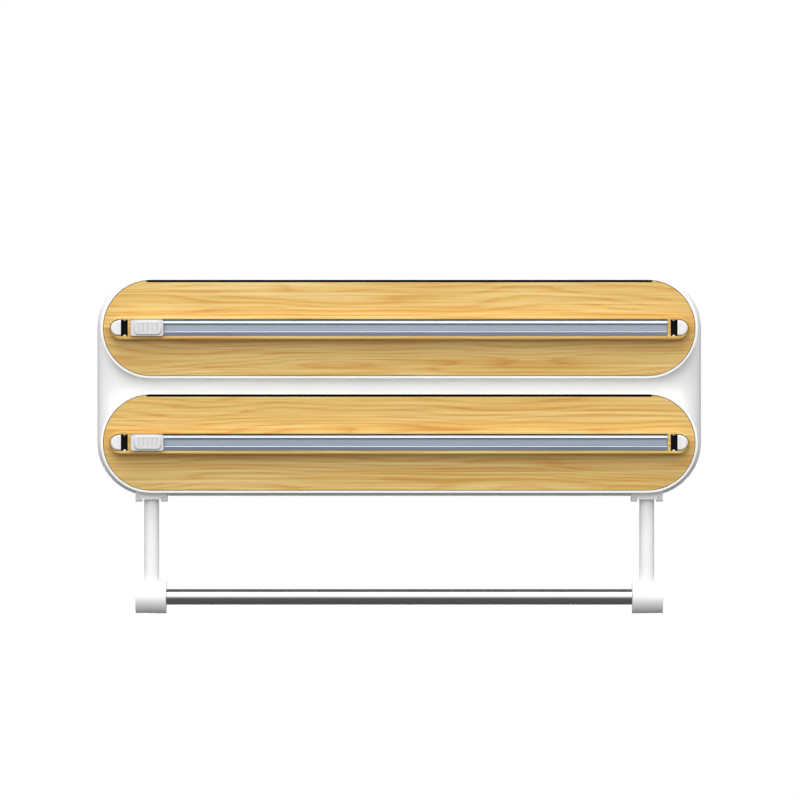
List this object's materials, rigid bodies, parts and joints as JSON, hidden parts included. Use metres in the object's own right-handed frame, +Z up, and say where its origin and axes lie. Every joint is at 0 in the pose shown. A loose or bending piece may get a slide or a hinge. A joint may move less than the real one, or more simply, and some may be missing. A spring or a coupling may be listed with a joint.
{
  "type": "wall-hung foil and film dispenser",
  "caption": "Wall-hung kitchen dispenser with stacked pill-shaped roll drawers, wood fronts, slide cutters, latch buttons and a towel rod on arms below.",
  "frame": {"origin": "on the wall face, midway between the two decks and at mid-width", "axes": "+Z up, +X to the right seen from the front, +Y into the wall, so that the front faces -Y"},
  "size_m": [0.3866, 0.0821, 0.2166],
  "materials": {
    "white_abs": "moulded ABS, satin",
    "white_pom": "moulded acetal",
    "black_pom": "moulded acetal",
    "black_silicone": "soft silicone lip",
    "grey_abs": "moulded ABS, satin",
    "wood_laminate": "light wood laminate, satin",
    "aluminium": "drawn and anodised",
    "spindle_tube": "drawn tube",
    "polished_steel": "polished stainless tube",
    "spring_steel": "drawn wire",
    "zinc_steel": "zinc plated",
    "blade_steel": "ground strip"
  },
  "bodies": {
    "housing": {"housing": "white_abs", "back_plate": "white_abs", "back_plate_screws": "zinc_steel", "upper_slot_strip": "black_silicone", "lower_slot_strip": "black_silicone", "arm_socket_left": "white_abs", "arm_socket_right": "white_abs", "arm_left": "white_abs", "arm_right": "white_abs", "end_block_left": "white_abs", "end_block_right": "white_abs"},
    "towel_rod": {"towel_rod": "polished_steel", "rod_plug": "white_pom", "rod_spring_stop": "white_pom", "rod_spring": "spring_steel"},
    "rod_plunger": {"rod_plunger": "white_pom"},
    "upper_drawer": {"upper_drawer": "white_abs", "upper_wood_panel": "wood_laminate", "upper_cutter_bar": "wood_laminate", "upper_cutter_rail": "aluminium", "upper_bar_screws": "zinc_steel", "upper_latch_guides": "black_pom", "upper_latch_spring_left": "spring_steel", "upper_latch_spring_right": "spring_steel"},
    "upper_slider": {"upper_slider": "grey_abs", "upper_slider_pad": "grey_abs", "upper_blade": "blade_steel"},
    "upper_spindle": {"upper_spindle_shaft": "spindle_tube", "upper_spindle_hubs": "grey_abs"},
    "upper_latch_left": {"upper_latch_left": "white_abs"},
    "upper_latch_right": {"upper_latch_right": "white_abs"},
    "lower_drawer": {"lower_drawer": "white_abs", "lower_wood_panel": "wood_laminate", "lower_cutter_bar": "wood_laminate", "lower_cutter_rail": "aluminium", "lower_bar_screws": "zinc_steel", "lower_latch_guides": "black_pom", "lower_latch_spring_left": "spring_steel", "lower_latch_spring_right": "spring_steel"},
    "lower_slider": {"lower_slider": "grey_abs", "lower_slider_pad": "grey_abs", "lower_blade": "blade_steel"},
    "lower_spindle": {"lower_spindle_shaft": "spindle_tube", "lower_spindle_hubs": "grey_abs"},
    "lower_latch_left": {"lower_latch_left": "white_abs"},
    "lower_latch_right": {"lower_latch_right": "white_abs"}
  },
  "joints": [
    {"name": "towel_rod_spin", "type": "hinge", "parent": "housing", "child": "towel_rod", "pos_m": [0, -0.056, -0.1353], "axis": [1, 0, 0], "continuous": true},
    {"name": "rod_plunger_slide", "type": "slide", "parent": "towel_rod", "child": "rod_plunger", "axis": [-1, 0, 0], "range_m": [0, 0.0068], "stiffness_N_per_m": 500, "springref_m": -0.004, "deforming": ["rod_spring"]},
    {"name": "upper_drawer_slide", "type": "slide", "parent": "housing", "child": "upper_drawer", "axis": [0, -1, 0], "range_m": [0, 0.06]},
    {"name": "upper_cutter_slide", "type": "slide", "parent": "upper_drawer", "child": "upper_slider", "axis": [1, 0, 0], "range_m": [0, 0.3203]},
    {"name": "upper_latch_left_press", "type": "slide", "parent": "upper_drawer", "child": "upper_latch_left", "axis": [1, 0, 0], "range_m": [0, 0.003], "stiffness_N_per_m": 600, "springref_m": -0.002, "deforming": ["upper_latch_spring_left"]},
    {"name": "upper_latch_right_press", "type": "slide", "parent": "upper_drawer", "child": "upper_latch_right", "axis": [-1, 0, 0], "range_m": [0, 0.003], "stiffness_N_per_m": 600, "springref_m": -0.002, "deforming": ["upper_latch_spring_right"]},
    {"name": "upper_spindle_spin", "type": "hinge", "parent": "upper_drawer", "child": "upper_spindle", "pos_m": [0, -0.035, 0.0365], "axis": [1, 0, 0], "continuous": true},
    {"name": "lower_drawer_slide", "type": "slide", "parent": "housing", "child": "lower_drawer", "axis": [0, -1, 0], "range_m": [0, 0.06]},
    {"name": "lower_cutter_slide", "type": "slide", "parent": "lower_drawer", "child": "lower_slider", "axis": [1, 0, 0], "range_m": [0, 0.3203]},
    {"name": "lower_latch_left_press", "type": "slide", "parent": "lower_drawer", "child": "lower_latch_left", "axis": [1, 0, 0], "range_m": [0, 0.003], "stiffness_N_per_m": 600, "springref_m": -0.002, "deforming": ["lower_latch_spring_left"]},
    {"name": "lower_latch_right_press", "type": "slide", "parent": "lower_drawer", "child": "lower_latch_right", "axis": [-1, 0, 0], "range_m": [0, 0.003], "stiffness_N_per_m": 600, "springref_m": -0.002, "deforming": ["lower_latch_spring_right"]},
    {"name": "lower_spindle_spin", "type": "hinge", "parent": "lower_drawer", "child": "lower_spindle", "pos_m": [0, -0.035, -0.0365], "axis": [1, 0, 0], "continuous": true}
  ]
}
